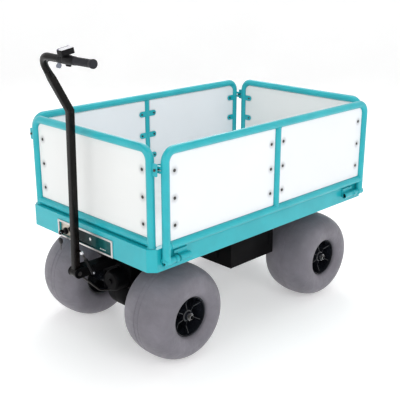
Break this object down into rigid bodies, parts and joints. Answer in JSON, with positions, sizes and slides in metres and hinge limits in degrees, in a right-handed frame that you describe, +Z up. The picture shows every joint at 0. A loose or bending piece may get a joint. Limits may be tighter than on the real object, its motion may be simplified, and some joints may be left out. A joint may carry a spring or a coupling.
{
  "type": "beach cart",
  "caption": "Powered deck wagon for sand: balloon wheels, steered front axle with tilting control handle, fixed end fences and drop-down side gates.",
  "frame": {"origin": "ground level, under the middle of the object's bounding box with the handle upright", "axes": "+X to the cart's left side, -Y forwards to the steering handle, +Z up"},
  "size_m": [0.9032, 1.6486, 1.348],
  "materials": {
    "frame_coat": "glossy turquoise powder coat",
    "black_coat": "semi-gloss black powder coat",
    "side_sheet": "smooth pale grey-white sheet",
    "bright_steel": "bright zinc-plated steel",
    "bezel_metal": "brushed aluminium",
    "plate_metal": "satin warm grey",
    "dark_window": "glossy black",
    "black_plastic": "satin black",
    "grip_rubber": "matte black",
    "lever_plastic": "satin blue-grey",
    "display_face": "glossy pale grey",
    "battery_case": "matte dark grey",
    "controller_case": "cast aluminium",
    "tyre_skin": "soft grey-mauve balloon tyre",
    "hub_plastic": "glossy black moulding",
    "cable_jacket": "black cable jacket"
  },
  "bodies": {
    "chassis": {"deck_frame": "frame_coat", "deck_plate": "side_sheet", "panel_bezel": "bezel_metal", "panel_plate": "plate_metal", "panel_window": "dark_window", "key_switch": "black_plastic", "charge_socket": "black_plastic", "turntable_base": "black_coat", "battery_box": "black_coat", "battery_pack": "battery_case", "motor_controller": "controller_case", "rear_axle": "black_coat", "rear_subframe": "black_coat", "hinge_fl": "frame_coat", "hinge_fr": "frame_coat", "hinge_rl": "frame_coat", "hinge_rr": "frame_coat", "fence_front": "frame_coat", "fence_front_panel": "side_sheet", "fence_rear": "frame_coat", "fence_rear_panel": "side_sheet"},
    "front_truck": {"steering_fork": "black_coat", "front_axle": "black_coat", "drive_motor": "black_coat", "tongue": "black_coat", "pivot_bolt": "bright_steel", "tongue_brace": "black_coat"},
    "handle": {"handle_tube": "black_coat", "handle_bar": "black_coat", "grip": "grip_rubber", "throttle_clamp": "black_plastic", "display": "black_plastic", "display_cover": "display_face", "throttle_cable": "cable_jacket"},
    "throttle": {"throttle_lever": "lever_plastic"},
    "strut_lower": {"strut_cylinder": "black_coat"},
    "strut_upper": {"strut_rod": "bright_steel"},
    "key": {"ignition_key": "black_plastic"},
    "spare": {"spare_key": "black_plastic"},
    "wheel_fl": {"tyre_fl": "tyre_skin", "hub_fl": "hub_plastic"},
    "wheel_fr": {"tyre_fr": "tyre_skin", "hub_fr": "hub_plastic"},
    "wheel_rl": {"tyre_rl": "tyre_skin", "hub_rl": "hub_plastic"},
    "wheel_rr": {"tyre_rr": "tyre_skin", "hub_rr": "hub_plastic"},
    "side_left": {"gate_left": "frame_coat", "gate_left_panel_front": "side_sheet", "gate_left_panel_rear": "side_sheet"},
    "side_right": {"gate_right": "frame_coat", "gate_right_panel_front": "side_sheet", "gate_right_panel_rear": "side_sheet"},
    "pin_fl": {"latch_pin_fl": "bright_steel"},
    "pin_fr": {"latch_pin_fr": "bright_steel"},
    "pin_rl": {"latch_pin_rl": "bright_steel"},
    "pin_rr": {"latch_pin_rr": "bright_steel"}
  },
  "joints": [
    {"name": "steer", "type": "hinge", "parent": "chassis", "child": "front_truck", "pos_m": [0, -0.3965, 0.42], "axis": [0, 0, 1], "range_deg": [-22, 22]},
    {"name": "handle_tilt", "type": "hinge", "parent": "front_truck", "child": "handle", "pos_m": [0, -0.6794, 0.3759], "axis": [1, 0, 0], "range_deg": [0, 60]},
    {"name": "strut_foot", "type": "hinge", "parent": "front_truck", "child": "strut_lower", "pos_m": [0.04, -0.6207, 0.368], "axis": [1, 0, 0], "range_deg": [0, 40]},
    {"name": "strut_head", "type": "hinge", "parent": "handle", "child": "strut_upper", "pos_m": [0.04, -0.6717, 0.472], "axis": [1, 0, 0], "range_deg": [-20.2, 0]},
    {"name": "throttle_turn", "type": "hinge", "parent": "handle", "child": "throttle", "pos_m": [0.145, -0.7933, 1.2996], "axis": [1, 0, 0], "range_deg": [0, 35], "stiffness_Nm_per_rad": 0.3, "springref_deg": -17.19},
    {"name": "key_turn", "type": "hinge", "parent": "chassis", "child": "key", "pos_m": [-0.1588, -0.6195, 0.5019], "axis": [0, 1, 0], "range_deg": [0, 45]},
    {"name": "spare_swing", "type": "hinge", "parent": "key", "child": "spare", "pos_m": [-0.1588, -0.6408, 0.5034], "axis": [0, 1, 0], "range_deg": [-20, 20]},
    {"name": "wheel_fl_spin", "type": "hinge", "parent": "front_truck", "child": "wheel_fl", "pos_m": [0.2983, -0.3965, 0.21], "axis": [1, 0, 0], "continuous": true},
    {"name": "wheel_fr_spin", "type": "hinge", "parent": "front_truck", "child": "wheel_fr", "pos_m": [-0.2983, -0.3965, 0.21], "axis": [1, 0, 0], "continuous": true},
    {"name": "wheel_rl_spin", "type": "hinge", "parent": "chassis", "child": "wheel_rl", "pos_m": [0.2983, 0.5223, 0.21], "axis": [1, 0, 0], "continuous": true},
    {"name": "wheel_rr_spin", "type": "hinge", "parent": "chassis", "child": "wheel_rr", "pos_m": [-0.2983, 0.5223, 0.21], "axis": [1, 0, 0], "continuous": true},
    {"name": "side_left_fold", "type": "hinge", "parent": "chassis", "child": "side_left", "pos_m": [0.4345, 0.1043, 0.5145], "axis": [0, 1, 0], "range_deg": [0, 120]},
    {"name": "side_right_fold", "type": "hinge", "parent": "chassis", "child": "side_right", "pos_m": [-0.4345, 0.1043, 0.5145], "axis": [0, -1, 0], "range_deg": [0, 120]},
    {"name": "pin_fl_pull", "type": "slide", "parent": "chassis", "child": "pin_fl", "axis": [0, -1, 0], "range_m": [0, 0.02], "stiffness_N_per_m": 250, "springref_m": -0.006},
    {"name": "pin_fr_pull", "type": "slide", "parent": "chassis", "child": "pin_fr", "axis": [0, -1, 0], "range_m": [0, 0.02], "stiffness_N_per_m": 250, "springref_m": -0.006},
    {"name": "pin_rl_pull", "type": "slide", "parent": "chassis", "child": "pin_rl", "axis": [0, 1, 0], "range_m": [0, 0.02], "stiffness_N_per_m": 250, "springref_m": -0.006},
    {"name": "pin_rr_pull", "type": "slide", "parent": "chassis", "child": "pin_rr", "axis": [0, 1, 0], "range_m": [0, 0.02], "stiffness_N_per_m": 250, "springref_m": -0.006}
  ],
  "couplings": [
    {"joint": "strut_foot", "follows": "handle_tilt", "ratio": 0.665},
    {"joint": "strut_head", "follows": "handle_tilt", "ratio": -0.335}
  ]
}
